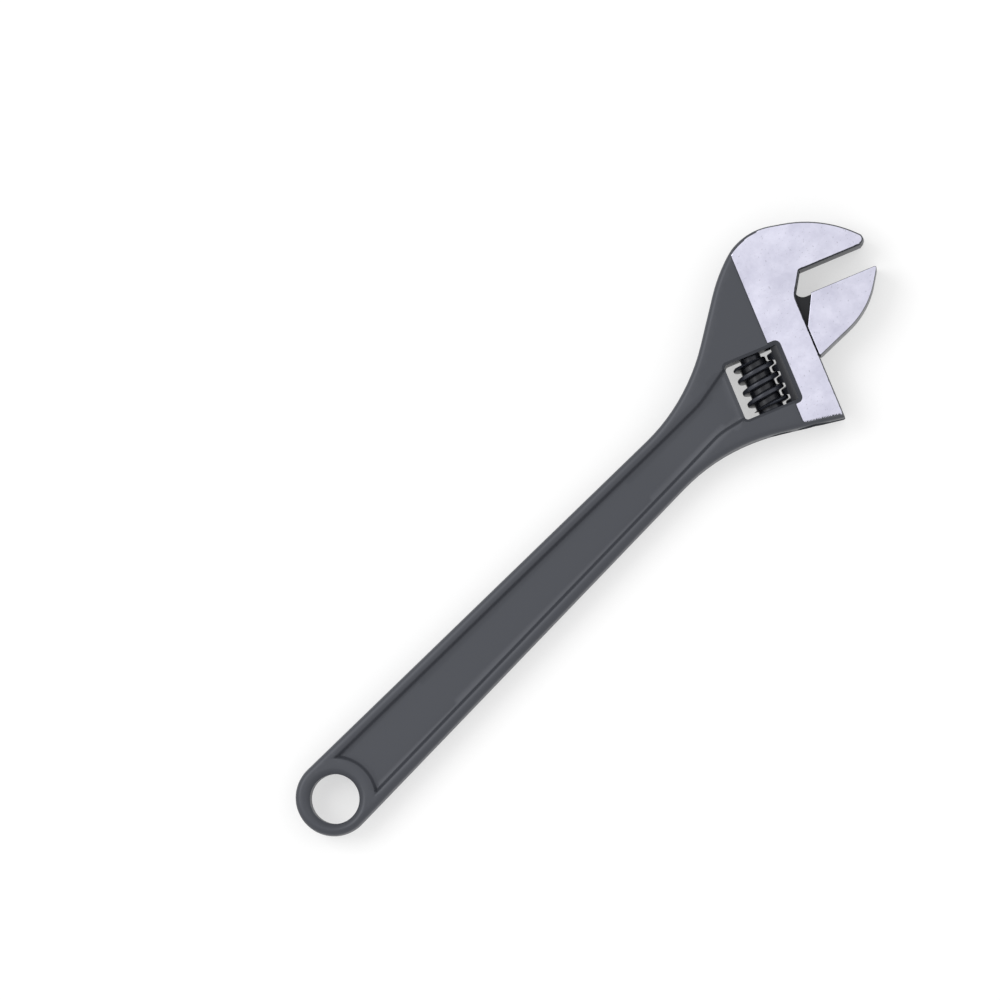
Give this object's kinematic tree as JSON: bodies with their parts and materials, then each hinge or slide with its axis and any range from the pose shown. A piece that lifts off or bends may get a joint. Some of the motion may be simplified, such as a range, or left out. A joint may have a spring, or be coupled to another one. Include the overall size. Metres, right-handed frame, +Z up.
{
  "type": "adjustable wrench",
  "caption": "Forged adjustable wrench with a hang hole, ground jaw faces and a worm that drives a sliding jaw on a toothed rail.",
  "frame": {"origin": "middle of the hang hole, half way through the handle's thickness", "axes": "+X along the handle towards the head, +Y to the side where the fixed jaw stands, +Z up through the thickness along the hang hole"},
  "size_m": [0.4554, 0.1123, 0.026],
  "materials": {
    "black_forging": "satin black phosphate over a forged skin, with ground faces at the head",
    "ground_steel": "finely ground faces, black rail and neck",
    "black_worm": "semi-gloss black oxide",
    "pin_steel": "dark turned steel",
    "spring_wire": "drawn spring wire"
  },
  "bodies": {
    "wrench_body": {"body": "black_forging", "worm_pin": "pin_steel", "worm_spring": "spring_wire"},
    "worm": {"worm": "black_worm"},
    "sliding_jaw": {"sliding_jaw": "ground_steel"}
  },
  "joints": [
    {"name": "jaw_slide", "type": "slide", "parent": "wrench_body", "child": "sliding_jaw", "axis": [-0.3827, -0.9239, 0], "range_m": [-0.0141, 0.0387]},
    {"name": "worm_turn", "type": "hinge", "parent": "wrench_body", "child": "worm", "pos_m": [0.3346, -0.0046, 0], "axis": [0.3827, 0.9239, 0], "range_deg": [-725.2, 1990.4]}
  ],
  "couplings": [
    {"joint": "worm_turn", "follows": "jaw_slide", "rad_per_m": 897.6}
  ]
}
